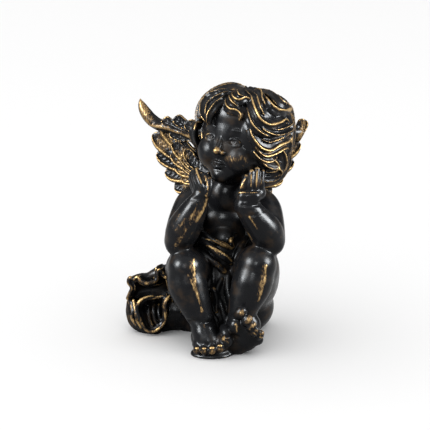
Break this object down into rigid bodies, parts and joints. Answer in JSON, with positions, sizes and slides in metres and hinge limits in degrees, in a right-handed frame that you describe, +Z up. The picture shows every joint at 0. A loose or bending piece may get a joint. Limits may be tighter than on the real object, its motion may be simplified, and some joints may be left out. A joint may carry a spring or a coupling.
{
  "type": "angel figurine",
  "caption": "Seated cherub figurine with curly hair and small wings, chin on its hands, knees drawn up and a cloth under it, in dark brushed bronze finish.",
  "frame": {"origin": "on the flat underside, at the surface the figurine stands on, below the middle of the body", "axes": "+Z up, -Y is the way the figure's body faces, -X is the figure's own right side"},
  "size_m": [0.1453, 0.1113, 0.1986],
  "materials": {
    "antique_bronze_finish": "cast resin, near-black brown with dry-brushed gold bronze on the raised edges"
  },
  "bodies": {
    "root": {"figurine": "antique_bronze_finish"}
  },
  "joints": []
}
